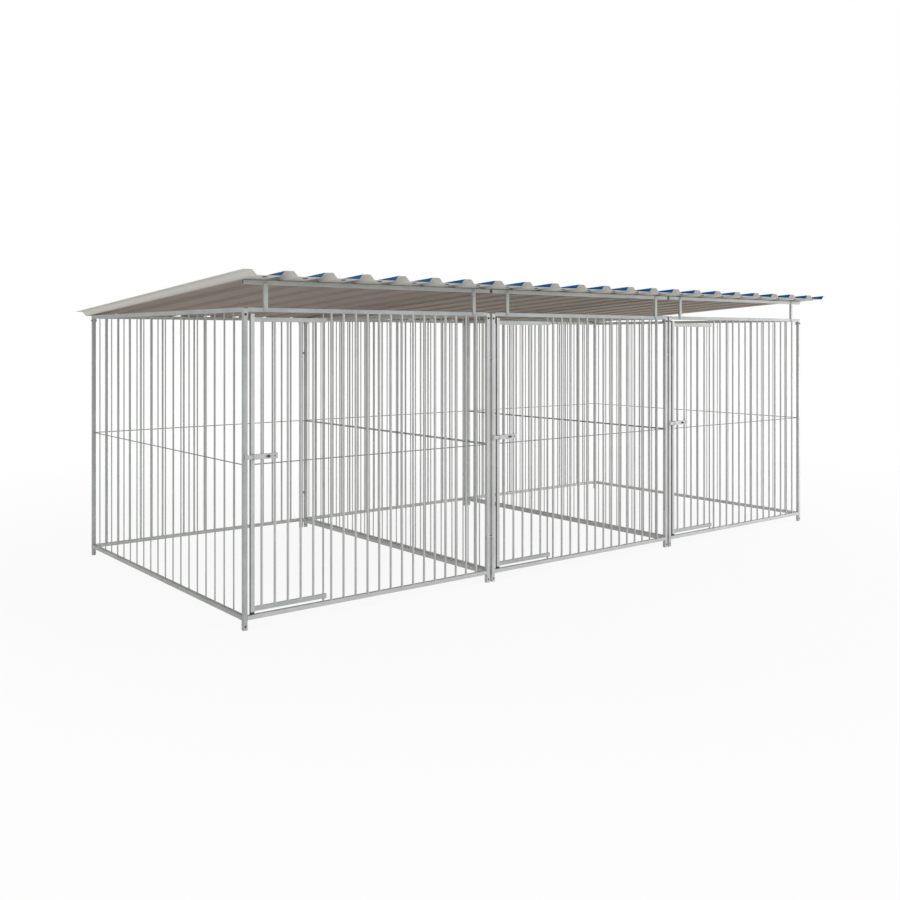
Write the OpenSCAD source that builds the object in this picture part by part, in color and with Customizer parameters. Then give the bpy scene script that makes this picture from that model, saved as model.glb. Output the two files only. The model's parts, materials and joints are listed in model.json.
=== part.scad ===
// Outdoor dog kennel run: three barred bays side by side under one ribbed roof.
// Each bay has two side frames, a back panel, a front with a hinged door and a slide latch.

/* [Frame] */
// Width of one bay over its corner posts
bay_w = 1800; // [1650:10:2000]
// Depth of the frame from its front face to its back face
frame_d = 2500; // [2200:10:2800]
// Height of the side frames
frame_h = 1800; // [1700:10:1950]
// Clear gap between neighbouring bays
bay_gap = 20; // [16:1:30]
// Side of the square frame tube
tube = 25; // [24:1:30]
// Wall of the square frame tube
tube_wall = 2; // [1.5:0.1:2.5]
// Radius of the outer corners at the top of a side frame
corner_r = 15; // [12:1:20]
// Height of the bottom rails above the ground
rail_z = 55; // [50:1:80]

/* [Bars] */
// Diameter of the tube bars of the front, the back and the doors
bar_d = 14; // [12:0.5:14.5]
// Wall of the tube bars
bar_wall = 1.5; // [1:0.1:2]
// Diameter of the solid bars of the side frames
side_bar_d = 8; // [7:0.5:10]
// Number of gaps between the bars of a side frame
side_gaps = 20; // [16:1:24]
// Number of gaps between the bars of a back panel
back_gaps = 20; // [16:1:24]
// Number of bars in the fixed part of a front
fixed_bars = 14; // [12:1:16]
// Diameter of the level rod that crosses the bars
rod_d = 6; // [5:0.5:6.5]
// Height of the level rod above the ground
rod_z = 920; // [850:10:930]

/* [Door] */
// Distance of the hinge rod from the left side of its bay
hinge_x = 519.5; // [490:0.5:580]
// Gap between the corner post and the door stile
door_gap = 20; // [16:1:26]
// Width of the door tube in the plane of the door
stile_w = 25; // [22:1:30]
// Depth of the door tube from front to back
door_t = 15; // [15:0.5:18]
// Wall of the door tube
door_wall = 1.5; // [1:0.1:2]
// Diameter of the hinge rod
hinge_rod_d = 10; // [8:0.5:10]
// Radial running clearance around the hinge rod
hinge_clear = 0.08; // [0.02:0.01:0.1]
// Number of bars in a door
door_bars = 5; // [4:1:6]

/* [Latch] */
// Height of the latch above the ground
latch_z = 963; // [955:1:1100]
// Height of the sliding bolt
bolt_h = 24; // [18:1:28]
// Thickness of the sliding bolt
bolt_t = 6; // [5:0.5:8]
// Travel of the bolt from rest into the keeper
lock_run = 12; // [8:1:13]
// Travel of the bolt from rest to fully drawn
draw_run = 40; // [32:1:45]
// Diameter of the knob
knob_d = 14; // [12:1:20]

/* [Roof] */
// Height of the front roof bearer above the side frames
roof_rise = 155; // [120:5:220]
// Overhang of the roof in front of the posts
front_overhang = 200; // [120:10:260]
// Overhang of the roof behind the posts
back_overhang = 60; // [40:5:120]
// Overhang of the roof at each end
side_overhang = 100; // [90:1:140]
// Width of the flat top of a rib
crest_w = 52; // [44:1:60]
// Width of one sloping flank of a rib
flank_w = 26; // [18:1:30]
// Height of the ribs
rib_h = 30; // [24:1:40]
// Thickness of the roof sheet
sheet_t = 0.8; // [0.6:0.1:1.2]
// Distance of the roof struts from the ends of a bay
strut_in = 125; // [90:5:200]

/* [Fixings] */
// Diameter of the anchor holes through the feet
anchor_d = 12; // [10:0.5:14]
// Height of the anchor holes above the ground
anchor_z = 22; // [18:1:28]
// Diameter of the frame bolts
screw_d = 6; // [5:0.5:8]

/* [Hidden] */
$fn = 48;
bays = 3;
total_w = bays * bay_w + (bays - 1) * bay_gap;
bay_step = bay_w + bay_gap;
over = 1;
mid = tube / 2;
steel = "#b9bdc0";
dark_steel = "#a4a9ab";
blue = "#1d5a9c";
black = "#1b1b1c";

// Side frames
corner_z = frame_h - corner_r;
rail_top = rail_z + tube;
head_z = frame_h - tube;
embed = tube_wall / 2;
pin_d = 10;
pin_fit = 0.6;
pin_len = 6;
plug_len = 4;
vent_d = 8;
vent_in = 20;

// Bolts, nuts and the plates they hold
hole_d = screw_d + 1;
head_h = 0.66 * screw_d;
nut_h = 0.8 * screw_d;
hex_d = 1.63 * screw_d / cos(30);
nut_fit = 0.2;
tail = 2;
ear_t = 4;
ear_h = 24;
ear_edge = 4;
ear_gap = 2;
ear_z1 = head_z - ear_gap;
ear_z0 = ear_z1 - ear_h;
ear_bolt_z = ear_z1 - ear_h / 2;
plate_edge = 2;
plate_z0 = head_z - ear_h - plate_edge;
plate_bolt_z = plate_z0 + ear_h / 2;
coupling_z = [300, 1500];
spacer_d = 18;

// Door and hinge
door_front = mid - door_t / 2;
door_back = mid + door_t / 2;
stile_x0 = tube + door_gap;
stile_x1 = stile_x0 + stile_w;
glide_gap = 2;
glide_h = 12;
glide_fit = 0.3;
glide_plug = 20;
stile_z0 = rail_top + glide_gap + glide_h;
stile_z1 = head_z - 10;
low_z0 = stile_z0 + 4;
low_z1 = low_z0 + stile_w;
high_z1 = stile_z1 - 20;
high_z0 = high_z1 - stile_w;
eye_len = 30;
eye_past = 19;
rail_x1 = hinge_x + eye_past;
eye_x0 = rail_x1 - eye_len;
collar_d = 18;
collar_h = 4;
collar_gap = 0.2;
first_gap = 47.5;
last_gap = 67;
door_pitch = (hinge_x - last_gap - stile_x1 - first_gap) / (door_bars - 1);
rod_clear = 1.5;
weld_gap = 0.3;
fixed_x0 = hinge_x + 55.5;
fixed_pitch = (bay_w - tube - fixed_x0) / fixed_bars;

// Latch
latch_clear = 0.2;
bolt_stand = 1;
bolt_y1 = -bolt_stand;
bolt_y0 = bolt_y1 - bolt_t;
case_wall = 2.8;
case_y0 = bolt_y0 - latch_clear - case_wall;
case_half = bolt_h / 2 + latch_clear + case_wall;
case_x0 = stile_x0 + 13;
knob_x = case_x0 + 92;
stud_d = 8;
stud_clear = 1;
slot_x0 = knob_x - stud_d / 2 - lock_run - stud_clear;
slot_x1 = knob_x + stud_d / 2 + draw_run + stud_clear;
case_x1 = slot_x1 + 14;
tip_x = tube - 10;
bolt_x1 = knob_x + 40;
knob_len = 10;
rivet_d = 7;
rivet_h = 1.6;
rivet_in = 7;
rivet_drop = 8;
keeper_t = 3;
keeper_w = 8;
keeper_clear = 1.4;
keeper_x0 = tip_x - 12;
keeper_half = bolt_h / 2 + keeper_clear + keeper_t;
keeper_y0 = bolt_y0 - keeper_clear - keeper_t;

// Roof
bearer_z1 = frame_h + roof_rise;
bearer_z0 = bearer_z1 - tube;
strut_w = 25;
strut_d = 15;
strut_t = 3;
strut_end = 2;
strut_hole = strut_t + (strut_w - strut_t) / 2;
slope = atan(roof_rise / (frame_d - tube));
roof_front = (tube + front_overhang) / cos(slope);
roof_back = (frame_d - tube + back_overhang) / cos(slope);
ribs = 22;
sheet_ribs = 4;
sheets = ceil(ribs / sheet_ribs);
rib_pitch = (total_w + 2 * side_overhang - crest_w) / ribs;
flank_off = sheet_t * tan(atan(rib_h / flank_w) / 2);
lap_gap = 0.2;
lap = sheet_t + lap_gap;
lap_in = 3;
plug_in = 55;
plug_y = plug_in - roof_front;
plug_hole = 20;
plug_fit = 0.1;
plug_top = 25;
plug_base = 28;
plug_t = 3;
plug_top_t = 1.5;
roof_y1 = tube + roof_back * cos(slope) + (rib_h + lap + sheet_t) * sin(slope);
fix_d = 5.5;
fix_len = 20;
fix_head = 5;
fix_hex = 9.2;
washer_d = 16;
washer_t = 1.5;
fix_side = 60;
fix_edge = 8;
fix_lines = [-mid / cos(slope), (frame_d - tube - mid) / cos(slope)];

// Middle of the footprint, which is the origin
mid_x = total_w / 2;
mid_y = (roof_y1 - front_overhang) / 2;

bay_parts = ["left_panel", "right_panel", "back_panel", "head_rail", "sill_rail", "front_grille",
    "hinge_rod", "keeper", "roof_bearer", "roof_struts", "door_panel", "door_glide", "latch_case",
    "latch_bolt", "latch_knob"];

// Placing

module in_frame() {
    translate([-mid_x, -mid_y, 0]) children();
}

module in_bay(b) {
    in_frame() translate([(b - 1) * bay_step, 0, 0]) children();
}

module in_roof() {
    in_frame() translate([0, tube, bearer_z1]) rotate([-slope, 0, 0]) children();
}

module flip_x(on) {
    if (on) translate([bay_w, 0, 0]) mirror([1, 0, 0]) children();
    else children();
}

module both_sides() {
    flip_x(false) children();
    flip_x(true) children();
}

module both_ends() {
    children();
    translate([0, frame_d, 0]) mirror([0, 1, 0]) children();
}

// Shared shapes

module box(lo, hi) {
    translate(lo) cube(hi - lo);
}

module bar_x(x0, x1, y, z, d) {
    translate([x0, y, z]) rotate([0, 90, 0]) cylinder(h = x1 - x0, d = d);
}

module bar_y(y0, y1, x, z, d) {
    translate([x, y0, z]) rotate([-90, 0, 0]) cylinder(h = y1 - y0, d = d);
}

module bar_z(z0, z1, x, y, d) {
    translate([x, y, z0]) cylinder(h = z1 - z0, d = d);
}

module open_rail(x0, x1, y, z) {
    difference() {
        box([x0, y, z], [x1, y + tube, z + tube]);
        box([x0 - over, y + tube_wall, z + tube_wall], [x1 + over, y + tube - tube_wall, z + tube - tube_wall]);
    }
}

// A bottom rail has plugged ends with pins that sit in the posts, and vents below.
module pinned_rail(y) {
    difference() {
        box([tube, y, rail_z], [bay_w - tube, y + tube, rail_top]);
        box([tube + plug_len, y + tube_wall, rail_z + tube_wall],
            [bay_w - tube - plug_len, y + tube - tube_wall, rail_top - tube_wall]);
        both_sides() bar_z(rail_z - over, rail_z + mid, tube + plug_len + vent_in, y + mid, vent_d);
    }
    both_sides() bar_x(tube - pin_len, tube + plug_len / 2, y + mid, rail_z + mid, pin_d);
}

module hex_bolt(len) {
    translate([0, 0, -head_h]) cylinder(h = head_h, d = hex_d, $fn = 6);
    cylinder(h = len, d = screw_d);
}

module hex_nut() {
    difference() {
        cylinder(h = nut_h, d = hex_d, $fn = 6);
        translate([0, 0, -over]) cylinder(h = nut_h + 2 * over, d = screw_d + nut_fit);
    }
}

// Where bolts go; z is the distance along the bolt from under its head

module at_ears(z) {
    for (b = [1:bays])
        in_bay(b) both_sides() translate([mid, z, ear_bolt_z]) rotate([-90, 0, 0]) children();
}

module at_plates(z) {
    for (b = [1:bays])
        in_bay(b) both_sides() translate([z, frame_d - mid, plate_bolt_z]) rotate([0, 90, 0]) children();
}

module at_struts(z) {
    for (b = [1:bays], x = strut_xs(), h = [head_z + mid, bearer_z0 + mid])
        in_bay(b) translate([x + strut_hole, z, h]) rotate([-90, 0, 0]) children();
}

module at_couplings(z) {
    for (b = [1:bays - 1], y = [mid, frame_d - mid], h = coupling_z)
        in_bay(b) translate([bay_w - tube + z, y, h]) rotate([0, 90, 0]) children();
}

// Side frames: a tube hoop with a bottom rail, upright bars and one level rod

module hoop(inset) {
    lo = inset;
    hi = tube - inset;
    foot = inset > 0 ? -over : 0;
    rail_y = inset > 0 ? mid : tube;
    both_ends() {
        box([lo, lo, foot], [hi, hi, corner_z]);
        translate([lo, corner_r, corner_z]) mirror([0, 1, 0]) rotate([90, 0, 90])
            rotate_extrude(angle = 90) square([corner_r - lo, hi - lo]);
    }
    box([lo, corner_r, head_z + lo], [hi, frame_d - corner_r, head_z + hi]);
    box([lo, rail_y, rail_z + lo], [hi, frame_d - rail_y, rail_z + hi]);
}

module side_panel(joined) {
    pitch = (frame_d - 2 * tube) / side_gaps;
    difference() {
        hoop(0);
        hoop(tube_wall);
        both_ends() {
            bar_y(-over, tube + over, mid, anchor_z, anchor_d);
            bar_x(mid, tube + over, mid, rail_z + mid, pin_d + pin_fit);
            if (joined)
                for (z = coupling_z) bar_x(-over, tube + over, mid, z, hole_d);
        }
        bar_y(-over, tube + over, mid, ear_bolt_z, hole_d);
        bar_x(-over, tube + over, frame_d - mid, plate_bolt_z, hole_d);
    }
    for (k = [1:side_gaps - 1])
        bar_z(rail_top - embed, head_z + embed, mid, tube + k * pitch, side_bar_d);
    bar_y(tube - embed, frame_d - tube + embed, mid, rod_z, rod_d);
}

module left_panel(b) {
    color(steel) in_bay(b) side_panel(b > 1);
}

module right_panel(b) {
    color(steel) in_bay(b) flip_x(true) side_panel(b < bays);
}

// Back panel: two rails, tube bars, a level rod and bolting plates under the top rail

module back_panel(b) {
    pitch = (bay_w - 2 * tube) / back_gaps;
    back_y = frame_d - tube;
    color(steel) in_bay(b) {
        difference() {
            union() {
                open_rail(tube, bay_w - tube, back_y, head_z);
                pinned_rail(back_y);
                for (k = [1:back_gaps - 1])
                    bar_z(rail_top - embed, head_z + embed, tube + k * pitch, back_y + mid, bar_d);
                both_sides() box([tube, back_y + plate_edge, plate_z0],
                    [tube + ear_t, frame_d - plate_edge, head_z + embed]);
            }
            for (k = [1:back_gaps - 1])
                bar_z(rail_top - mid, head_z + mid, tube + k * pitch, back_y + mid, bar_d - 2 * bar_wall);
            both_sides() bar_x(tube - over, tube + ear_t + over, back_y + mid, plate_bolt_z, hole_d);
        }
        bar_x(tube, bay_w - tube, back_y + mid, rod_z, rod_d);
    }
}

// Front: head rail with bolting ears, sill rail, fixed bars and the hinge rod

module ear() {
    difference() {
        union() {
            box([ear_edge, tube, ear_z0], [tube + ear_t, tube + ear_t, ear_z1]);
            box([tube, plate_edge, ear_z0], [tube + ear_t, tube + ear_t, ear_z1]);
            box([tube, plate_edge, ear_z0], [tube + ear_t, tube, head_z + embed]);
        }
        bar_y(tube - over, tube + ear_t + over, mid, ear_bolt_z, hole_d);
    }
}

module head_rail(b) {
    color(steel) in_bay(b) {
        difference() {
            open_rail(tube, bay_w - tube, 0, head_z);
            for (x = strut_xs()) bar_y(-over, tube + over, x + strut_hole, head_z + mid, hole_d);
        }
        both_sides() ear();
    }
}

module sill_rail(b) {
    color(steel) in_bay(b) pinned_rail(0);
}

module front_grille(b) {
    color(steel) in_bay(b) {
        difference() {
            for (k = [0:fixed_bars - 1]) bar_z(rail_top, head_z, fixed_x0 + k * fixed_pitch, mid, bar_d);
            for (k = [0:fixed_bars - 1])
                bar_z(rail_top - over, head_z + over, fixed_x0 + k * fixed_pitch, mid, bar_d - 2 * bar_wall);
        }
        bar_x(hinge_x + hinge_rod_d / 2 + weld_gap, bay_w - tube, mid, rod_z, rod_d);
    }
}

module hinge_rod(b) {
    color(dark_steel) in_bay(b) {
        bar_z(rail_top, head_z, hinge_x, mid, hinge_rod_d);
        bar_z(low_z0 - collar_gap - collar_h, low_z0 - collar_gap, hinge_x, mid, collar_d);
    }
}

module keeper(b) {
    color(dark_steel) in_bay(b) difference() {
        box([keeper_x0, keeper_y0, latch_z - keeper_half], [keeper_x0 + keeper_w, 0, latch_z + keeper_half]);
        box([keeper_x0 - over, keeper_y0 + keeper_t, latch_z - keeper_half + keeper_t],
            [keeper_x0 + keeper_w + over, over, latch_z + keeper_half - keeper_t]);
    }
}

// Door: a stile, two rails bored for the hinge rod, tube bars and a level rod

module door_frame(inset) {
    hollow = inset > 0;
    x0 = hollow ? stile_x0 + stile_w / 2 : stile_x1 - door_wall;
    x1 = hollow ? eye_x0 : rail_x1;
    foot = hollow ? stile_z0 - over : stile_z0;
    box([stile_x0 + inset, door_front + inset, foot], [stile_x1 - inset, door_back - inset, stile_z1 - inset]);
    for (z = [low_z0, high_z0])
        box([x0, door_front + inset, z + inset], [x1, door_back - inset, z + stile_w - inset]);
}

module door_panel(b) {
    xs = [for (k = [0:door_bars - 1]) stile_x1 + first_gap + k * door_pitch];
    color(steel) in_bay(b) {
        difference() {
            union() {
                difference() {
                    door_frame(0);
                    door_frame(door_wall);
                }
                for (x = xs) bar_z(low_z1 - door_wall / 2, high_z0 + door_wall / 2, x, mid, bar_d);
            }
            for (x = xs) bar_z(low_z1 - stile_w / 2, high_z0 + stile_w / 2, x, mid, bar_d - 2 * bar_wall);
            bar_z(low_z0 - over, low_z1 + over, hinge_x, mid, hinge_rod_d + 2 * hinge_clear);
            bar_z(high_z0 - over, high_z1 + over, hinge_x, mid, hinge_rod_d + 2 * hinge_clear);
        }
        bar_x(stile_x1 - door_wall / 2, hinge_x - hinge_rod_d / 2 - rod_clear, mid, rod_z, rod_d);
    }
}

module door_glide(b) {
    inset = door_wall + glide_fit;
    color(black) in_bay(b) {
        box([stile_x0, door_front, stile_z0 - glide_h], [stile_x1, door_back, stile_z0]);
        box([stile_x0 + inset, door_front + inset, stile_z0 - over],
            [stile_x1 - inset, door_back - inset, stile_z0 + glide_plug]);
    }
}

// Latch: a flat bolt that slides in a slotted case and is drawn by a knob

module latch_case(b) {
    chan = bolt_h / 2 + latch_clear;
    slot = stud_d / 2 + stud_clear / 2;
    color(dark_steel) in_bay(b) {
        difference() {
            box([case_x0, case_y0, latch_z - case_half], [case_x1, door_front, latch_z + case_half]);
            box([case_x0 - over, bolt_y0 - latch_clear, latch_z - chan],
                [case_x1 + over, bolt_y1 + latch_clear, latch_z + chan]);
            box([slot_x0, case_y0 - over, latch_z - slot], [slot_x1, bolt_y0, latch_z + slot]);
        }
        for (x = [case_x0 + rivet_in, case_x1 - rivet_in])
            bar_y(case_y0 - rivet_h, case_y0 + case_wall / 2, x, latch_z - rivet_drop, rivet_d);
    }
}

module latch_bolt(b) {
    color(steel) in_bay(b)
        box([tip_x, bolt_y0, latch_z - bolt_h / 2], [bolt_x1, bolt_y1, latch_z + bolt_h / 2]);
}

module latch_knob(b) {
    head_y = case_y0 - stud_clear;
    color(black) in_bay(b) {
        bar_y(head_y - knob_len, head_y, knob_x, latch_z, knob_d);
        bar_y(head_y - knob_len / 2, bolt_y0, knob_x, latch_z, stud_d);
    }
}

// Roof: a bearer on struts over each front, and ribbed sheets that lap on their end ribs

function strut_xs() = [strut_in, bay_w - strut_in - strut_w];

module roof_bearer(b) {
    color(steel) in_bay(b) difference() {
        open_rail(0, bay_w, 0, bearer_z0);
        for (x = strut_xs()) bar_y(-over, tube + over, x + strut_hole, bearer_z0 + mid, hole_d);
    }
}

module strut() {
    difference() {
        union() {
            box([0, -strut_t, head_z + strut_end], [strut_w, 0, bearer_z1 - strut_end]);
            box([0, -strut_t, frame_h], [strut_t, strut_d - strut_t, bearer_z0]);
        }
        for (z = [head_z + mid, bearer_z0 + mid]) bar_y(-strut_t - over, over, strut_hole, z, hole_d);
    }
}

module roof_struts(b) {
    color(steel) in_bay(b)
        for (x = strut_xs()) translate([x, 0, 0]) strut();
}

function crest_x(j) = j * rib_pitch + crest_w / 2 - side_overhang;
function valley_x(j) = crest_x(j) + rib_pitch / 2;

// Corners of the sheet's underside: across, up, and the sideways step to the upper face
function rise(j, up) = let (x = crest_x(j) - crest_w / 2) [
    [x - flank_w, 0, -flank_off],
    [x + flank_w * up / rib_h, rib_h + up, -flank_off]];
function fall(j) = let (x = crest_x(j) + crest_w / 2) [
    [x, rib_h, flank_off],
    [x + flank_w, 0, flank_off]];
function underside(a, b) = concat(
    [[crest_x(a) - crest_w / 2 + (a > 0 ? lap_in : 0), rib_h, 0]],
    [for (j = [a:b - 1]) each concat(fall(j), rise(j + 1, j + 1 == b ? lap : 0))],
    [[crest_x(b) + crest_w / 2, rib_h + lap, 0]]);

module roof_sheet(k) {
    a = (k - 1) * sheet_ribs;
    b = min(a + sheet_ribs, ribs);
    low = underside(a, b);
    last = len(low) - 1;
    outline = concat(
        [for (p = low) [p[0], p[1]]],
        [for (i = [last:-1:0]) [low[i][0] + low[i][2], low[i][1] + sheet_t]]);
    color(blue) in_roof() difference() {
        translate([0, roof_back, 0]) rotate([90, 0, 0])
            linear_extrude(roof_front + roof_back) polygon(outline);
        for (j = [a:b - 1]) bar_z(-over, sheet_t + over, valley_x(j), plug_y, plug_hole);
    }
}

// A plug closes the hole in each valley near the front edge, with a flange on both sides of the sheet.
module roof_plugs() {
    color(black) in_roof()
        for (j = [0:ribs - 1]) {
            bar_z(-plug_t, 0, valley_x(j), plug_y, plug_base);
            bar_z(-plug_t, sheet_t + plug_top_t, valley_x(j), plug_y, plug_hole - 2 * plug_fit);
            bar_z(sheet_t, sheet_t + plug_top_t, valley_x(j), plug_y, plug_top);
        }
}

// A screw sits in each valley, on the side nearer the middle, where a rail lies below.
function screw_xs() = [for (j = [0:ribs - 1])
    let (x = valley_x(j) + (j < ribs / 2 ? fix_side : -fix_side))
    let (in_x = x - floor(x / bay_step) * bay_step)
    if (in_x > tube + fix_edge && in_x < bay_w - tube - fix_edge) x];

module roof_screws() {
    color(dark_steel) in_roof()
        for (x = screw_xs(), y = fix_lines) translate([x, y, sheet_t]) {
            cylinder(h = washer_t, d = washer_d);
            translate([0, 0, washer_t]) cylinder(h = fix_head, d = fix_hex, $fn = 6);
            translate([0, 0, -fix_len]) cylinder(h = fix_len, d = fix_d);
        }
}

// Bolts, nuts and spacers

ear_grip = tube + ear_t;
strut_grip = tube + strut_t;
coupling_grip = 2 * tube + bay_gap;

module panel_bolts() {
    color(dark_steel) {
        at_ears(0) hex_bolt(ear_grip + nut_h + tail);
        at_plates(0) hex_bolt(ear_grip + nut_h + tail);
    }
}

module strut_bolts() {
    color(dark_steel) at_struts(-strut_t) hex_bolt(strut_grip + nut_h + tail);
}

module coupling_bolts() {
    color(dark_steel) at_couplings(0) hex_bolt(coupling_grip + nut_h + tail);
}

module coupling_spacers() {
    color(dark_steel) at_couplings(tube) difference() {
        cylinder(h = bay_gap, d = spacer_d);
        translate([0, 0, -over]) cylinder(h = bay_gap + 2 * over, d = hole_d);
    }
}

module nuts() {
    color(dark_steel) {
        at_ears(ear_grip) hex_nut();
        at_plates(ear_grip) hex_nut();
        at_struts(tube) hex_nut();
        at_couplings(coupling_grip) hex_nut();
    }
}

// Output

for (b = [1:bays]) {
    left_panel(b);
    right_panel(b);
    back_panel(b);
    head_rail(b);
    sill_rail(b);
    front_grille(b);
    hinge_rod(b);
    keeper(b);
    roof_bearer(b);
    roof_struts(b);
    door_panel(b);
    door_glide(b);
    latch_case(b);
    latch_bolt(b);
    latch_knob(b);
}
for (k = [1:sheets])
    roof_sheet(k);
panel_bolts();
strut_bolts();
coupling_bolts();
coupling_spacers();
nuts();
roof_screws();
roof_plugs();
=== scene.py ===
import json
import math
import bmesh
import bpy
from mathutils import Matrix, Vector


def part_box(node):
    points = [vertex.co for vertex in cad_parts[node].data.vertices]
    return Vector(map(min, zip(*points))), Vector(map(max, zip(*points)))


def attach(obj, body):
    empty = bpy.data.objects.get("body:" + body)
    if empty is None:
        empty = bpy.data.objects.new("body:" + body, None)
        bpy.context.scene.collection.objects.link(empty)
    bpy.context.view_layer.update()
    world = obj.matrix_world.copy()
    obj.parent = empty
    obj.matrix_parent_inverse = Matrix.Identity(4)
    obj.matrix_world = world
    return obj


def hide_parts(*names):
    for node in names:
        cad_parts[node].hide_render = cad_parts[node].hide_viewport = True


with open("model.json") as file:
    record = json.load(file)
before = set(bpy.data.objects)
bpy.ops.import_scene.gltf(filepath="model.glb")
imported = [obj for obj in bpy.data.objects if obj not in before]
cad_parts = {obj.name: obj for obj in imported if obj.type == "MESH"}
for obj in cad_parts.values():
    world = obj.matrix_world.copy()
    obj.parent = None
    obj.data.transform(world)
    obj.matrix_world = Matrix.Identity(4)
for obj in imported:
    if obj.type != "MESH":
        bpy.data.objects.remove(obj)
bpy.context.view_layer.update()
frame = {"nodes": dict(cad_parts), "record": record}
nodes = frame["nodes"]
record = frame["record"]
slotOf = {sub["node"]: sub["material_slot"] for sub in record["subparts"]}
bodyOf = {node: body for body, members in record["behaviour"]["bodies"].items()
          for node in members}
bays = (1, 2, 3)
print("frame loaded:", len(nodes), "nodes")


def linear(code):
    parts = [int(code[i:i + 2], 16) / 255 for i in (1, 3, 5)]
    return tuple(c / 12.92 if c <= 0.04045 else ((c + 0.055) / 1.055) ** 2.4
                 for c in parts) + (1.0,)


def addNode(tree, kind, settings=None, links=None):
    node = tree.nodes.new(kind)
    for key, value in (settings or {}).items():
        if isinstance(key, int) or key in node.inputs:
            node.inputs[key].default_value = value
        else:
            setattr(node, key, value)
    for key, source in (links or {}).items():
        tree.links.new(source, node.inputs[key])
    return node


def newMaterial(name):
    material = bpy.data.materials.new(name)
    material.use_nodes = True
    material.node_tree.nodes.clear()
    return material, material.node_tree


# hot-dip zinc on mild steel: dull silver, soft cloudy patches, small crystals with ragged rims,
# faint pale runs down the uprights, and darker on the faces that look up
zincCoat = {"pale": "#cfcfd0", "dark": "#b6b6b7", "bloom": "#d6d6d7", "upFacingDark": "#6b6c66",
            "crystalMm": 7, "crystalShare": 0.15, "raggedShare": 0.4,
            "cloudMm": 180, "toneFrom": 0.3, "toneTo": 0.9,
            "runMm": 16, "runStretch": 0.06, "runFrom": 0.56, "runTo": 0.78, "runShare": 0.3,
            "upFacingDarkFrom": 0.6, "upFacingDarkTo": 0.95, "upFacingDarkShare": 0.5,
            "metallic": 0.2, "roughness": 0.5, "smoother": 0.08, "rougher": 0.1,
            "bump": 0.12, "bumpMm": 0.6}


def makeZincCoat(name, look):
    material, tree = newMaterial(name)
    place = addNode(tree, "ShaderNodeTexCoord")
    raggedMm = look["crystalMm"] * look["raggedShare"]
    ragged = addNode(tree, "ShaderNodeTexNoise", {"Scale": 1000 / raggedMm, "Detail": 2.0},
                     {"Vector": place.outputs["Object"]})
    nudge = addNode(tree, "ShaderNodeVectorMath",
                    {"operation": "MULTIPLY_ADD", 1: (raggedMm / 1000,) * 3},
                    {0: ragged.outputs["Color"], 2: place.outputs["Object"]})
    crystal = addNode(tree, "ShaderNodeTexVoronoi",
                      {"Scale": 1000 / look["crystalMm"], "Randomness": 1.0},
                      {"Vector": nudge.outputs["Vector"]})
    shade = addNode(tree, "ShaderNodeSeparateColor", {}, {"Color": crystal.outputs["Color"]})
    cloud = addNode(tree, "ShaderNodeTexNoise",
                    {"Scale": 1000 / look["cloudMm"], "Detail": 5.0, "Roughness": 0.6},
                    {"Vector": place.outputs["Object"]})
    stretch = addNode(tree, "ShaderNodeMapping", {"Scale": (1.0, 1.0, look["runStretch"])},
                      {"Vector": place.outputs["Object"]})
    run = addNode(tree, "ShaderNodeTexNoise", {"Scale": 1000 / look["runMm"], "Detail": 3.0},
                  {"Vector": stretch.outputs["Vector"]})
    mixTone = addNode(tree, "ShaderNodeMath",
                      {"operation": "MULTIPLY_ADD", 1: look["crystalShare"]},
                      {0: shade.outputs["Red"], 2: cloud.outputs["Fac"]})
    tone = addNode(tree, "ShaderNodeMapRange",
                   {"From Min": look["toneFrom"], "From Max": look["toneTo"]},
                   {"Value": mixTone.outputs[0]})
    body = addNode(tree, "ShaderNodeMix",
                   {"data_type": "RGBA", 6: linear(look["dark"]), 7: linear(look["pale"])},
                   {0: tone.outputs["Result"]})
    bloomAt = addNode(tree, "ShaderNodeMapRange",
                      {"From Min": look["runFrom"], "From Max": look["runTo"],
                       "To Max": look["runShare"]}, {"Value": run.outputs["Fac"]})
    colour = addNode(tree, "ShaderNodeMix", {"data_type": "RGBA", 7: linear(look["bloom"])},
                     {0: bloomAt.outputs["Result"], 6: body.outputs[2]})
    # darker on the faces that look up, set by the true normal's height
    shape = addNode(tree, "ShaderNodeNewGeometry")
    facing = addNode(tree, "ShaderNodeSeparateXYZ", {}, {"Vector": shape.outputs["True Normal"]})
    level = addNode(tree, "ShaderNodeMapRange",
                    {"From Min": look["upFacingDarkFrom"], "From Max": look["upFacingDarkTo"],
                     "To Max": look["upFacingDarkShare"]}, {"Value": facing.outputs["Z"]})
    upFacingDarkened = addNode(tree, "ShaderNodeMix", {"data_type": "RGBA", 7: linear(look["upFacingDark"])},
                    {0: level.outputs["Result"], 6: colour.outputs[2]})
    rough = addNode(tree, "ShaderNodeMapRange",
                    {"To Min": look["roughness"] - look["smoother"],
                     "To Max": look["roughness"] + look["rougher"]},
                    {"Value": shade.outputs["Green"]})
    bump = addNode(tree, "ShaderNodeBump",
                   {"Strength": look["bump"], "Distance": look["bumpMm"] / 1000},
                   {"Height": cloud.outputs["Fac"]})
    shader = addNode(tree, "ShaderNodeBsdfPrincipled", {"Metallic": look["metallic"]},
                     {"Base Color": upFacingDarkened.outputs[2], "Roughness": rough.outputs["Result"],
                      "Normal": bump.outputs["Normal"]})
    addNode(tree, "ShaderNodeOutputMaterial", {}, {"Surface": shader.outputs[0]})
    return material


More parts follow.
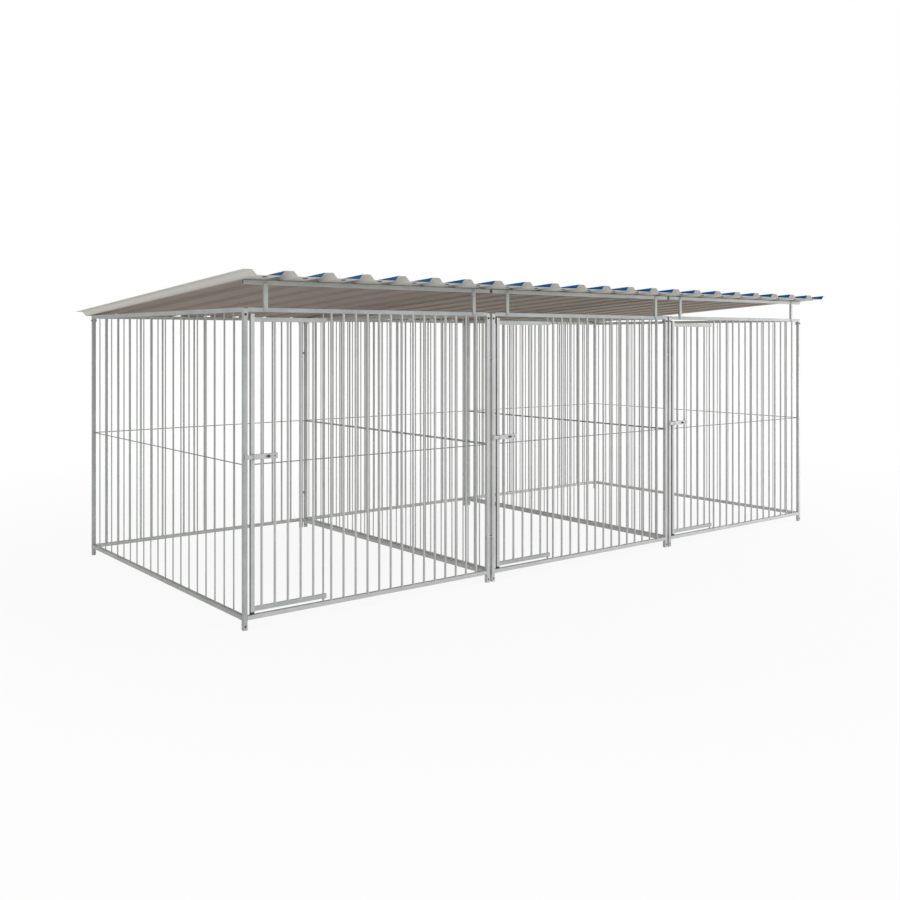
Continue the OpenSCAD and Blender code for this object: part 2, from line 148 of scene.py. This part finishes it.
# coil-coated steel: semi-gloss blue polyester on top, thin beige-grey backing coat below, bare
# cut edges; the backing coat has painted light along the front and the sides, and is darker
# further in
roofCoat = {"top": "#005c9b", "topFade": "#0367a7", "back": "#a89e93", "backDark": "#998f84",
            "paintedRimLight": "#e4e2dc", "edge": "#e8e5dd", "tilt": 0.2,
            "frontY": -1.38, "paintedRimLightM": 0.3, "sideX": 2.82, "sideM": 0.12, "cloudMm": 320,
            "peelMm": 2.5, "peel": 0.05, "peelDeepMm": 0.2,
            "topRough": 0.42, "backRough": 0.6, "specular": 0.03}


def makeRoofCoat(name, look):
    material, tree = newMaterial(name)
    place = addNode(tree, "ShaderNodeTexCoord")
    where = addNode(tree, "ShaderNodeSeparateXYZ", {}, {"Vector": place.outputs["Object"]})
    shape = addNode(tree, "ShaderNodeNewGeometry")
    facing = addNode(tree, "ShaderNodeSeparateXYZ", {}, {"Vector": shape.outputs["True Normal"]})
    cloud = addNode(tree, "ShaderNodeTexNoise", {"Scale": 1000 / look["cloudMm"], "Detail": 4.0},
                    {"Vector": place.outputs["Object"]})
    peel = addNode(tree, "ShaderNodeTexNoise", {"Scale": 1000 / look["peelMm"], "Detail": 1.0},
                   {"Vector": place.outputs["Object"]})
    isTop = addNode(tree, "ShaderNodeMath", {"operation": "GREATER_THAN", 1: look["tilt"]},
                    {0: facing.outputs["Z"]})
    isUnder = addNode(tree, "ShaderNodeMath", {"operation": "LESS_THAN", 1: -look["tilt"]},
                      {0: facing.outputs["Z"]})
    top = addNode(tree, "ShaderNodeMix",
                  {"data_type": "RGBA", 6: linear(look["top"]), 7: linear(look["topFade"])},
                  {0: cloud.outputs["Fac"]})
    under = addNode(tree, "ShaderNodeMix",
                    {"data_type": "RGBA", 6: linear(look["backDark"]), 7: linear(look["back"])},
                    {0: cloud.outputs["Fac"]})
    # painted light: the backing coat paler towards the front edge and the sides
    nearEdge = addNode(tree, "ShaderNodeMapRange",
                       {"interpolation_type": "SMOOTHSTEP", "From Min": look["frontY"],
                        "From Max": look["frontY"] + look["paintedRimLightM"], "To Min": 1.0,
                        "To Max": 0.0}, {"Value": where.outputs["Y"]})
    across = addNode(tree, "ShaderNodeMath", {"operation": "ABSOLUTE"}, {0: where.outputs["X"]})
    nearSide = addNode(tree, "ShaderNodeMapRange",
                       {"interpolation_type": "SMOOTHSTEP",
                        "From Min": look["sideX"] - look["sideM"],
                        "From Max": look["sideX"] - look["sideM"] / 2},
                       {"Value": across.outputs[0]})
    nearRim = addNode(tree, "ShaderNodeMath", {"operation": "MAXIMUM"},
                      {0: nearEdge.outputs["Result"], 1: nearSide.outputs["Result"]})
    underWithRimLight = addNode(tree, "ShaderNodeMix", {"data_type": "RGBA", 7: linear(look["paintedRimLight"])},
                   {0: nearRim.outputs[0], 6: under.outputs[2]})
    low = addNode(tree, "ShaderNodeMix", {"data_type": "RGBA", 6: linear(look["edge"])},
                  {0: isUnder.outputs[0], 7: underWithRimLight.outputs[2]})
    colour = addNode(tree, "ShaderNodeMix", {"data_type": "RGBA"},
                     {0: isTop.outputs[0], 6: low.outputs[2], 7: top.outputs[2]})
    rough = addNode(tree, "ShaderNodeMapRange",
                    {"To Min": look["backRough"], "To Max": look["topRough"]},
                    {"Value": isTop.outputs[0]})
    bump = addNode(tree, "ShaderNodeBump",
                   {"Strength": look["peel"], "Distance": look["peelDeepMm"] / 1000},
                   {"Height": peel.outputs["Fac"]})
    shader = addNode(tree, "ShaderNodeBsdfPrincipled", {"Specular IOR Level": look["specular"]},
                     {"Base Color": colour.outputs[2], "Roughness": rough.outputs["Result"],
                      "Normal": bump.outputs["Normal"]})
    addNode(tree, "ShaderNodeOutputMaterial", {}, {"Surface": shader.outputs[0]})
    return material


# glass-filled polyamide, moulded: near-black, dull, fine grain
polyamide = {"base": "#1a1a1b", "worn": "#2c2c2d", "grainMm": 0.8, "grain": 0.2,
             "grainDeepMm": 0.2, "roughness": 0.55}


def makePolyamide(name, look):
    material, tree = newMaterial(name)
    place = addNode(tree, "ShaderNodeTexCoord")
    grain = addNode(tree, "ShaderNodeTexNoise", {"Scale": 1000 / look["grainMm"], "Detail": 2.0},
                    {"Vector": place.outputs["Object"]})
    colour = addNode(tree, "ShaderNodeMix",
                     {"data_type": "RGBA", 6: linear(look["base"]), 7: linear(look["worn"])},
                     {0: grain.outputs["Fac"]})
    bump = addNode(tree, "ShaderNodeBump",
                   {"Strength": look["grain"], "Distance": look["grainDeepMm"] / 1000},
                   {"Height": grain.outputs["Fac"]})
    shader = addNode(tree, "ShaderNodeBsdfPrincipled", {"Roughness": look["roughness"]},
                     {"Base Color": colour.outputs[2], "Normal": bump.outputs["Normal"]})
    addNode(tree, "ShaderNodeOutputMaterial", {}, {"Surface": shader.outputs[0]})
    return material


# one zinc in several copies: clean on the doors; a weathered copy, greener and darker, on the
# outer panel and the struts, and as painted shade on the roof bearer and the door rails; a
# darker copy as painted shade on the head rail; a paler copy as painted light on the panels
# under the roof, less darkened on faces that look up; dark on thin wire; and painted shade on
# the door stile's closing face
galvanised = makeZincCoat("hotDipGalvanisedSteel", zincCoat)
# greener, darker weathered zinc for the outer panel and struts, also painted shade on the bearer
# and door rails
weatheredWithPaintedShade = makeZincCoat("weatheredGalvanisedSteelAndPaintedShade",
                         dict(zincCoat, pale="#bdc1be", dark="#a0a4a1", bloom="#c7cac7"))
# a darker copy: painted shade on the head rail
headRailPaintedShade = makeZincCoat("paintedShadeGalvanisedSteel",
                      dict(zincCoat, pale="#b5b8b8", dark="#999c9c", bloom="#bfc2c2"))
# a paler copy: painted light on the panels under the roof
paintedLightSteel = makeZincCoat("paintedLightGalvanisedSteel",
                         dict(zincCoat, pale="#ced1ce", dark="#b6b9b5", bloom="#d6d8d5",
                              upFacingDarkShare=0.15))
wire = makeZincCoat("drawnGalvanisedWire",
                    dict(zincCoat, pale="#8d908e", dark="#777a78", bloom="#979a98"))
plated = makeZincCoat("zincPlatedSteel",
                      dict(zincCoat, pale="#b0b2b3", dark="#929495", bloom="#babcbd",
                           crystalMm=3, cloudMm=60, metallic=0.4, roughness=0.4))
# painted shade for the stile's closing face, in the narrow gap by the post
closingFacePaintedShade = makeZincCoat("closingFaceShadeGalvanisedSteel",
                     dict(zincCoat, pale="#68696b", dark="#4e4f52", bloom="#707174"))
roofSteel = makeRoofCoat("coilCoatedRoofSteel", roofCoat)
blackPlastic = makePolyamide("blackPolyamide", polyamide)
greyPlastic = makePolyamide("darkGreyPolyamide", dict(polyamide, base="#353537", worn="#49494b"))

finishes = {"galvanised_steel": galvanised, "zinc_plated_steel": plated,
            "coated_sheet": roofSteel, "black_plastic": blackPlastic}
# the head rail and bearer take darker copies that carry painted shade, the panels a paler copy
# that carries painted light
bayFinishes = {"latch_case": galvanised, "latch_bolt": galvanised, "keeper": galvanised,
               "head_rail": headRailPaintedShade, "roof_bearer": weatheredWithPaintedShade, "roof_struts": weatheredWithPaintedShade,
               "left_panel": paintedLightSteel, "right_panel": paintedLightSteel, "back_panel": paintedLightSteel,
               "latch_knob": greyPlastic}
finishOf = {name: finishes[slot] for name, slot in slotOf.items()}
for b in bays:
    for part, finish in bayFinishes.items():
        finishOf[f"bay{b}_{part}"] = finish
finishOf["bay1_left_panel"] = weatheredWithPaintedShade
for name, finish in finishOf.items():
    nodes[name].data.materials.clear()
    nodes[name].data.materials.append(finish)
print("materials made")

# lengths in metres; corner is the turn in radians past which an edge counts as an outer one
meshCare = {"merge": 0.00001, "flatDeg": 1, "smoothDeg": 35, "corner": 1.0, "straight": 0.99,
            "slack": 0.0001}


def focus(piece):
    bpy.ops.object.select_all(action="DESELECT")
    piece.select_set(True)
    bpy.context.view_layer.objects.active = piece


def copyOfNode(name):
    piece = bpy.data.objects.new(name + "_made", nodes[name].data.copy())
    bpy.context.scene.collection.objects.link(piece)
    focus(piece)
    bpy.ops.mesh.customdata_custom_splitnormals_clear()
    bpy.ops.object.mode_set(mode="EDIT")
    bpy.ops.mesh.select_all(action="SELECT")
    bpy.ops.mesh.remove_doubles(threshold=meshCare["merge"])
    bpy.ops.mesh.dissolve_limited(angle_limit=math.radians(meshCare["flatDeg"]))
    bpy.ops.object.mode_set(mode="OBJECT")
    return piece


def bevelEdges(piece, wanted, radius, segments):
    focus(piece)
    bpy.ops.object.mode_set(mode="EDIT")
    bpy.ops.mesh.select_mode(type="EDGE")
    bpy.ops.mesh.select_all(action="DESELECT")
    shape = bmesh.from_edit_mesh(piece.data)
    for edge in shape.edges:
        if wanted(edge):
            edge.select_set(True)
    bmesh.update_edit_mesh(piece.data)
    bpy.ops.mesh.bevel(offset=radius, segments=segments, affect="EDGES", clamp_overlap=False)
    bpy.ops.object.mode_set(mode="OBJECT")


def outerEdge(edge, shortest):
    return (edge.is_convex and edge.calc_length() > shortest
            and edge.calc_face_angle(0) > meshCare["corner"])


def along(edge, axis):
    way = edge.verts[1].co - edge.verts[0].co
    return abs(way[axis]) > meshCare["straight"] * way.length


def ease(piece, rim):
    bevelEdges(piece, lambda edge: outerEdge(edge, rim["shortest"]), rim["radius"],
               rim["segments"])


def joined(pieces):
    focus(pieces[0])
    for piece in pieces:
        piece.select_set(True)
    bpy.ops.object.join()
    return pieces[0]


def settle(piece, title, material, body):
    focus(piece)
    piece.name = title
    bpy.ops.object.transform_apply(location=True, rotation=True, scale=True)
    bpy.ops.object.shade_smooth_by_angle(angle=math.radians(meshCare["smoothDeg"]))
    # keeps broad flat faces flat beside their rounded edges
    piece.modifiers.new("flats", "WEIGHTED_NORMAL").keep_sharp = True
    bpy.ops.object.modifier_apply(modifier="flats")
    piece.data.materials.clear()
    piece.data.materials.append(material)
    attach(piece, body)


def replaceNode(name, piece):
    settle(piece, name + "_made", finishOf[name], bodyOf[name])
    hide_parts(name)


def refinish(piece, material, wanted):
    piece.data.materials.append(material)
    for face in piece.data.polygons:
        if wanted(face):
            face.material_index = len(piece.data.materials) - 1


def facesBetween(piece, lowest, highest):
    heights = [v.co.z for v in piece.data.vertices]
    return lambda face: all(lowest < heights[i] < highest for i in face.vertices)


# welds: a lumpy fillet round each bar end, and a square bead where a rail meets its post
weld = {"leg": 0.0026, "lip": 0.0003, "sunk": 0.0004, "lump": 0.0003, "sides": 14,
        "squareBead": 0.0026, "ringThin": 0.06, "ringSides": 6}
weldTurn = {"+Z": (0, 0, 0), "-Z": (180, 0, 0), "+X": (0, 90, 0), "-X": (0, -90, 0),
            "+Y": (-90, 0, 0), "-Y": (90, 0, 0)}


def weldRow(at, barRadius, rises, count=1, step=(0, 0, 0)):
    bpy.ops.object.select_all(action="DESELECT")
    bpy.ops.mesh.primitive_cone_add(vertices=weld["sides"], radius1=barRadius + weld["leg"],
                                    radius2=barRadius + weld["lip"],
                                    depth=weld["leg"] + weld["sunk"],
                                    location=(0, 0, (weld["leg"] - weld["sunk"]) / 2))
    bead = bpy.context.object
    bpy.ops.object.transform_apply(location=True, rotation=True, scale=True)
    bead.rotation_euler = [math.radians(angle) for angle in weldTurn[rises]]
    bead.location = at
    bpy.ops.object.transform_apply(location=True, rotation=True, scale=True)
    if count > 1:
        row = bead.modifiers.new("row", "ARRAY")
        row.use_relative_offset = False
        row.use_constant_offset = True
        row.constant_offset_displace = step
        row.count = count
        bpy.ops.object.modifier_apply(modifier="row")
    bpy.ops.object.mode_set(mode="EDIT")
    bpy.ops.mesh.select_all(action="SELECT")
    bpy.ops.transform.vertex_random(offset=weld["lump"], seed=count)
    bpy.ops.object.mode_set(mode="OBJECT")
    return bead


def squareWeld(at, axis, width, depth):
    # a four-sided ring round a tube end, corners on the tube's corners
    turn = {"X": (0, math.radians(90), 0), "Y": (math.radians(90), 0, 0)}[axis]
    bpy.ops.object.select_all(action="DESELECT")
    bpy.ops.mesh.primitive_torus_add(location=(0, 0, 0), major_radius=math.sqrt(0.5),
                                     minor_radius=weld["ringThin"], major_segments=4,
                                     minor_segments=weld["ringSides"])
    bead = bpy.context.object
    bpy.ops.object.mode_set(mode="EDIT")
    bpy.ops.mesh.select_all(action="SELECT")
    bpy.ops.transform.rotate(value=math.radians(45), orient_axis="Z", center_override=(0, 0, 0))
    bpy.ops.object.mode_set(mode="OBJECT")
    bead.scale = (width, depth, weld["squareBead"] / weld["ringThin"])
    bead.rotation_euler = turn
    bead.location = at
    bpy.ops.object.transform_apply(location=True, rotation=True, scale=True)
    return bead


# frame of one bay, in metres from its left front foot
bay = {"wide": 1.8, "deep": 2.5, "tube": 0.025, "railTop": 0.08, "headZ": 1.775,
       "sideBars": 19, "sideRadius": 0.004, "backBars": 19, "barRadius": 0.007,
       "fixedBars": 14, "fixedFirst": 0.575, "hingeX": 0.5195, "hingeRadius": 0.005,
       "rodZ": 0.92, "rodRadius": 0.003, "rodSlack": 0.0002}
tubeEdge = {"radius": 0.0018, "segments": 3, "shortest": 0.06}
strutEdge = {"radius": 0.001, "segments": 2, "shortest": 0.006}
half = bay["tube"] / 2
barEnds = ((bay["railTop"], "+Z"), (bay["headZ"], "-Z"))
cornerOf = {b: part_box(f"bay{b}_left_panel")[0] for b in bays}


def spot(b, x, y, z):
    return Vector((cornerOf[b].x + x, cornerOf[b].y + y, z))


def dullRod(piece):
    reach = bay["rodRadius"] + bay["rodSlack"]
    refinish(piece, wire, facesBetween(piece, bay["rodZ"] - reach, bay["rodZ"] + reach))


def makeSidePanel(b, side, x):
    name = f"bay{b}_{side}_panel"
    panel = copyOfNode(name)
    ease(panel, tubeEdge)
    step = (bay["deep"] - 2 * bay["tube"]) / (bay["sideBars"] + 1)
    beads = [weldRow(spot(b, x, bay["tube"] + step, z), bay["sideRadius"], rises,
                     bay["sideBars"], (0, step, 0)) for z, rises in barEnds]
    for y, rises in ((bay["tube"], "+Y"), (bay["deep"] - bay["tube"], "-Y")):
        beads.append(weldRow(spot(b, x, y, bay["rodZ"]), bay["rodRadius"], rises))
        beads.append(squareWeld(spot(b, x, y, bay["railTop"] - half), "Y", bay["tube"],
                                bay["tube"]))
    replaceNode(name, joined([panel] + beads))
    if finishOf[name] == paintedLightSteel:  # its front post keeps the doors' finish, without the painted light
        postBack = cornerOf[b].y + bay["tube"]
        refinish(panel, galvanised, lambda face: face.center.y < postBack)
    dullRod(panel)


def makeBackPanel(b):
    panel = copyOfNode(f"bay{b}_back_panel")
    ease(panel, tubeEdge)
    step = (bay["wide"] - 2 * bay["tube"]) / (bay["backBars"] + 1)
    beads = [weldRow(spot(b, bay["tube"] + step, bay["deep"] - half, z), bay["barRadius"],
                     rises, bay["backBars"], (step, 0, 0)) for z, rises in barEnds]
    replaceNode(f"bay{b}_back_panel", joined([panel] + beads))
    dullRod(panel)


def makeRails(b):
    for part, rim in (("head_rail", tubeEdge), ("sill_rail", tubeEdge),
                      ("roof_bearer", tubeEdge), ("roof_struts", strutEdge)):
        rail = copyOfNode(f"bay{b}_{part}")
        ease(rail, rim)
        replaceNode(f"bay{b}_{part}", rail)


def makeFrontGrille(b):
    grille = copyOfNode(f"bay{b}_front_grille")
    lastX = bay["wide"] - bay["tube"]
    step = (lastX - bay["fixedFirst"]) / bay["fixedBars"]
    beads = [weldRow(spot(b, bay["fixedFirst"], half, z), bay["barRadius"], rises,
                     bay["fixedBars"], (step, 0, 0)) for z, rises in barEnds]
    beads.append(weldRow(spot(b, lastX, half, bay["rodZ"]), bay["rodRadius"], "-X"))
    replaceNode(f"bay{b}_front_grille", joined([grille] + beads))
    dullRod(grille)


def makeHingeRod(b):
    rod = copyOfNode(f"bay{b}_hinge_rod")
    beads = [weldRow(spot(b, bay["hingeX"], half, z), bay["hingeRadius"], rises)
             for z, rises in barEnds]
    replaceNode(f"bay{b}_hinge_rod", joined([rod] + beads))


door = {"bars": 5, "first": 0.1175, "step": 0.08375, "lowZ": 0.123, "highZ": 1.72,
        "railLowZ": 0.1105, "railHighZ": 1.7325, "railWide": 0.025, "railDeep": 0.015,
        "railRadius": 0.0004, "railSegments": 2, "stileX": 0.07, "stileRadius": 0.0014,
        "stileSegments": 3, "cutGap": 0.0005, "looksLeft": -0.7}


def makeDoor(b):
    leaf = copyOfNode(f"bay{b}_door_panel")
    bevelEdges(leaf, lambda edge: outerEdge(edge, tubeEdge["shortest"]) and along(edge, 2),
               door["stileRadius"], door["stileSegments"])
    bevelEdges(leaf, lambda edge: outerEdge(edge, tubeEdge["shortest"]) and along(edge, 0),
               door["railRadius"], door["railSegments"])
    # stile and rails share their front face, so a cut beside the stile parts them
    bpy.ops.object.mode_set(mode="EDIT")
    bpy.ops.mesh.select_all(action="SELECT")
    bpy.ops.mesh.bisect(plane_co=spot(b, door["stileX"] + door["cutGap"], 0, 0),
                        plane_no=(1, 0, 0))
    bpy.ops.object.mode_set(mode="OBJECT")
    beads = [weldRow(spot(b, door["first"], half, z), bay["barRadius"], rises, door["bars"],
                     (door["step"], 0, 0))
             for z, rises in ((door["lowZ"], "+Z"), (door["highZ"], "-Z"))]
    for z in (door["railLowZ"], door["railHighZ"]):
        beads.append(squareWeld(spot(b, door["stileX"], half, z), "X", door["railWide"],
                                door["railDeep"]))
    beads.append(weldRow(spot(b, door["stileX"], half, bay["rodZ"]), bay["rodRadius"], "+X"))
    replaceNode(f"bay{b}_door_panel", joined([leaf] + beads))
    # the rails take the weathered copy, darker as painted shade, and the stile's closing face is
    # painted shade
    isLow = facesBetween(leaf, 0, door["lowZ"])
    isHigh = facesBetween(leaf, door["highZ"], bay["headZ"])
    # the weathered copy on the door rails is painted shade
    refinish(leaf, weatheredWithPaintedShade, lambda face: isLow(face) or isHigh(face))
    # painted shade on the stile's faces that look left, towards the post
    stileMiddle = cornerOf[b].x + door["stileX"] - half
    refinish(leaf, closingFacePaintedShade, lambda face: face.normal.x < door["looksLeft"]
             and face.center.x < stileMiddle)
    dullRod(leaf)


for b in bays:
    makeSidePanel(b, "left", half)
    makeSidePanel(b, "right", bay["wide"] - half)
    makeBackPanel(b)
    makeRails(b)
    makeFrontGrille(b)
    makeHingeRod(b)
    makeDoor(b)
print("panels and doors made")

# latch, glide and keeper: pressed and moulded parts with eased edges
smallParts = {"latch_case": {"radius": 0.0012, "segments": 3, "shortest": 0.004},
              "latch_bolt": {"radius": 0.0012, "segments": 3, "shortest": 0.004},
              "keeper": {"radius": 0.0009, "segments": 2, "shortest": 0.002},
              "door_glide": {"radius": 0.0009, "segments": 2, "shortest": 0.006}}
knob = {"crown": 0.003, "segments": 4}
for b in bays:
    for part, rim in smallParts.items():
        piece = copyOfNode(f"bay{b}_{part}")
        ease(piece, rim)
        replaceNode(f"bay{b}_{part}", piece)
    piece = copyOfNode(f"bay{b}_latch_knob")
    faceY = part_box(f"bay{b}_latch_knob")[0].y + meshCare["slack"]
    bevelEdges(piece, lambda edge: all(v.co.y < faceY for v in edge.verts)
               and outerEdge(edge, 0), knob["crown"], knob["segments"])
    replaceNode(f"bay{b}_latch_knob", piece)
print("latches made")

# fixings: chamfered hex heads and nuts, eased plugs, black caps on the corner bolts
hexEdge = {"radius": 0.0006, "segments": 2, "shortest": 0.003}
plugEdge = {"radius": 0.0005, "segments": 2, "shortest": 0.0005}
for name, rim in (("panel_bolts", hexEdge), ("strut_bolts", hexEdge),
                  ("coupling_bolts", hexEdge), ("nuts", hexEdge), ("roof_screws", hexEdge),
                  ("roof_plugs", plugEdge)):
    piece = copyOfNode(name)
    ease(piece, rim)
    replaceNode(name, piece)

boltCap = {"radius": 0.0066, "deep": 0.0055, "sides": 16, "crown": 0.002, "segments": 3,
           "z": 1.761}
capHalf = boltCap["deep"] / 2
crownFrom = capHalf - meshCare["slack"]
caps = []
for b in bays:
    places = [(spot(b, x, -capHalf, boltCap["z"]), (90, 0, 0))
              for x in (half, bay["wide"] - half)]
    places += [(spot(b, x, bay["deep"] - half, boltCap["z"]), (0, turn, 0))
               for x, turn in ((-capHalf, -90), (bay["wide"] + capHalf, 90))]
    for at, turn in places:
        bpy.ops.object.select_all(action="DESELECT")
        bpy.ops.mesh.primitive_cylinder_add(vertices=boltCap["sides"], radius=boltCap["radius"],
                                            depth=boltCap["deep"])
        cap = bpy.context.object
        bevelEdges(cap, lambda edge: all(v.co.z > crownFrom for v in edge.verts),
                   boltCap["crown"], boltCap["segments"])
        cap.location = at
        cap.rotation_euler = [math.radians(angle) for angle in turn]
        bpy.ops.object.transform_apply(location=True, rotation=True, scale=True)
        caps.append(cap)
settle(joined(caps), "bolt_caps", blackPlastic, "kennel")
print("fixings made")

# roof sheets: folds with a small bend radius, told from the cut edges by their angle in radians
fold = {"sheets": 6, "radius": 0.003, "segments": 3, "shortest": 1.0, "flattest": 0.5,
        "sharpest": 1.3}
for k in range(1, fold["sheets"] + 1):
    sheet = copyOfNode(f"roof_sheet_{k}")
    bevelEdges(sheet, lambda edge: edge.calc_length() > fold["shortest"]
               and fold["flattest"] < edge.calc_face_angle(0) < fold["sharpest"],
               fold["radius"], fold["segments"])
    replaceNode(f"roof_sheet_{k}", sheet)
print("roof made")

# studio
studio = {"camera": (-5.2637, -6.2583, 1.6261), "turn": -38.262, "lens": 40.039, "sensor": 36,
          "shiftY": -0.12386, "worldLeft": 0.5, "worldRight": 1.05, "leftX": -0.8, "rightX": 1.0,
          "floor": "#f0f0f0", "floorM": 120, "floorSeen": 0.9, "fadeFrom": 3.5, "fadeTo": 7.5}
bpy.ops.object.select_all(action="DESELECT")
bpy.ops.object.camera_add(location=studio["camera"],
                          rotation=(math.radians(90), 0, math.radians(studio["turn"])))
camera = bpy.context.object
camera.data.lens = studio["lens"]
camera.data.sensor_width = studio["sensor"]
camera.data.shift_y = studio["shiftY"]
bpy.context.scene.camera = camera

lamps = [{"name": "keyLamp", "kind": "SUN", "at": (8.0, -10.5, 5.0), "aim": (0, 0, 0.9),
          "spread": 20, "power": 0.5},
         {"name": "leftLamp", "kind": "AREA", "at": (-5.5, 0.3, 1.0), "aim": (-2.7, 0, 0.9),
          "size": 2.0, "power": 6},
         {"name": "rightLamp", "kind": "AREA", "at": (7.0, -4.0, 0.7), "aim": (1.9, 0.3, 1.7),
          "size": 3.0, "power": 165}]
for lamp in lamps:
    bpy.ops.object.light_add(type=lamp["kind"], location=lamp["at"])
    light = bpy.context.object
    light.name = lamp["name"]
    light.data.energy = lamp["power"]
    if lamp["kind"] == "SUN":
        light.data.angle = math.radians(lamp["spread"])
    else:
        light.data.size = lamp["size"]
    beam = Vector(lamp["aim"]) - Vector(lamp["at"])
    light.rotation_euler = beam.to_track_quat("-Z", "Y").to_euler()


def seenRays(tree):
    path = addNode(tree, "ShaderNodeLightPath")
    seen = addNode(tree, "ShaderNodeMath", {"operation": "MAXIMUM"},
                   {0: path.outputs["Is Camera Ray"], 1: path.outputs["Is Glossy Ray"]})
    return addNode(tree, "ShaderNodeMath", {"operation": "MAXIMUM"},
                   {0: seen.outputs[0], 1: path.outputs["Is Transmission Ray"]}).outputs[0]


# the floor shows the shadow near the run and fades to white further out
bpy.ops.mesh.primitive_plane_add(size=studio["floorM"], location=(0, 0, 0))
floor = bpy.context.object
floor.name = "studioFloor"
floorMaterial, tree = newMaterial("studioFloor")
place = addNode(tree, "ShaderNodeTexCoord")
away = addNode(tree, "ShaderNodeVectorMath", {"operation": "LENGTH"},
               {0: place.outputs["Object"]})
white = addNode(tree, "ShaderNodeMapRange",
                {"From Min": studio["fadeFrom"], "From Max": studio["fadeTo"],
                 "To Min": studio["floorSeen"], "To Max": 1.0}, {"Value": away.outputs["Value"]})
share = addNode(tree, "ShaderNodeMath", {"operation": "MULTIPLY"},
                {0: seenRays(tree), 1: white.outputs["Result"]})
paint = addNode(tree, "ShaderNodeBsdfDiffuse", {"Color": linear(studio["floor"])})
glow = addNode(tree, "ShaderNodeEmission", {"Strength": 1.0})
both = addNode(tree, "ShaderNodeMixShader", {},
               {0: share.outputs[0], 1: paint.outputs[0], 2: glow.outputs[0]})
addNode(tree, "ShaderNodeOutputMaterial", {}, {"Surface": both.outputs[0]})
floor.data.materials.append(floorMaterial)

# white to the eye, with less light from the left, so that the faces that look left are dark
world = bpy.data.worlds.new("studioWorld")
bpy.context.scene.world = world
world.use_nodes = True
tree = world.node_tree
tree.nodes.clear()
way = addNode(tree, "ShaderNodeTexCoord")
side = addNode(tree, "ShaderNodeSeparateXYZ", {}, {"Vector": way.outputs["Generated"]})
lit = addNode(tree, "ShaderNodeMapRange",
              {"From Min": studio["leftX"], "From Max": studio["rightX"],
               "To Min": studio["worldLeft"], "To Max": studio["worldRight"]},
              {"Value": side.outputs["X"]})
level = addNode(tree, "ShaderNodeMix", {"data_type": "FLOAT", 3: 1.0},
                {0: seenRays(tree), 2: lit.outputs["Result"]})
sky = addNode(tree, "ShaderNodeBackground", {"Color": (1, 1, 1, 1)},
              {"Strength": level.outputs[0]})
addNode(tree, "ShaderNodeOutputWorld", {}, {"Surface": sky.outputs[0]})
bpy.context.scene.view_settings.view_transform = "Standard"
print("studio ready")
